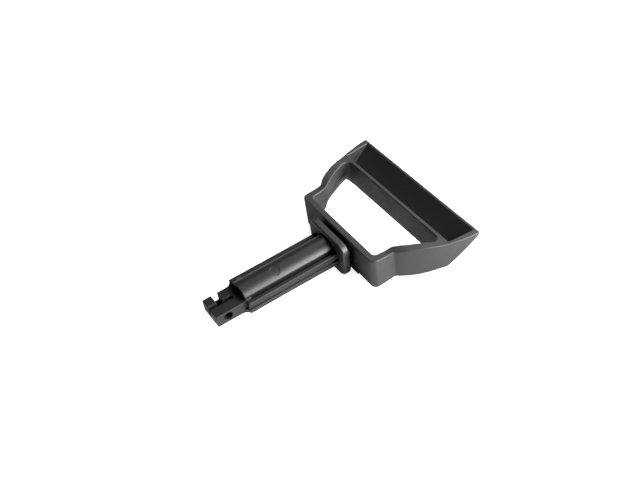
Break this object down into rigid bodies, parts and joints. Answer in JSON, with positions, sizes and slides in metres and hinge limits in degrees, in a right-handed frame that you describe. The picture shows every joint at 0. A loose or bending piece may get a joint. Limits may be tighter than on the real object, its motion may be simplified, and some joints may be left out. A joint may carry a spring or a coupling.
{
  "type": "cable release pull handle",
  "caption": "Moulded pull handle: trapezoid finger loop with a raked trough front on a fluted shank sliding through an oblong guide collar, with a slotted cable-nipple tip.",
  "frame": {"origin": "where the shank's axis, the line of pull, meets the pulling face of the loop's cross wall", "axes": "+X runs along the shank from the cable tip towards the finger loop, +Z is out of the loop's top face where the trough opens, +Y completes a right-handed frame"},
  "size_m": [0.1174, 0.0878, 0.0196],
  "materials": {
    "loop_plastic": "fine-textured charcoal black moulding",
    "stem_plastic": "smooth satin black moulding",
    "collar_plastic": "satin charcoal moulding",
    "buffer_rubber": "dull black soft pad",
    "screw_steel": "zinc-plated steel"
  },
  "bodies": {
    "panel_guide": {"guide_collar": "collar_plastic"},
    "handle": {"grip_loop": "loop_plastic", "stem": "stem_plastic", "stop_buffer": "buffer_rubber", "retaining_screw": "screw_steel"}
  },
  "joints": [
    {"name": "pull_stroke", "type": "slide", "parent": "panel_guide", "child": "handle", "axis": [1, 0, 0], "range_m": [0, 0.045]}
  ]
}
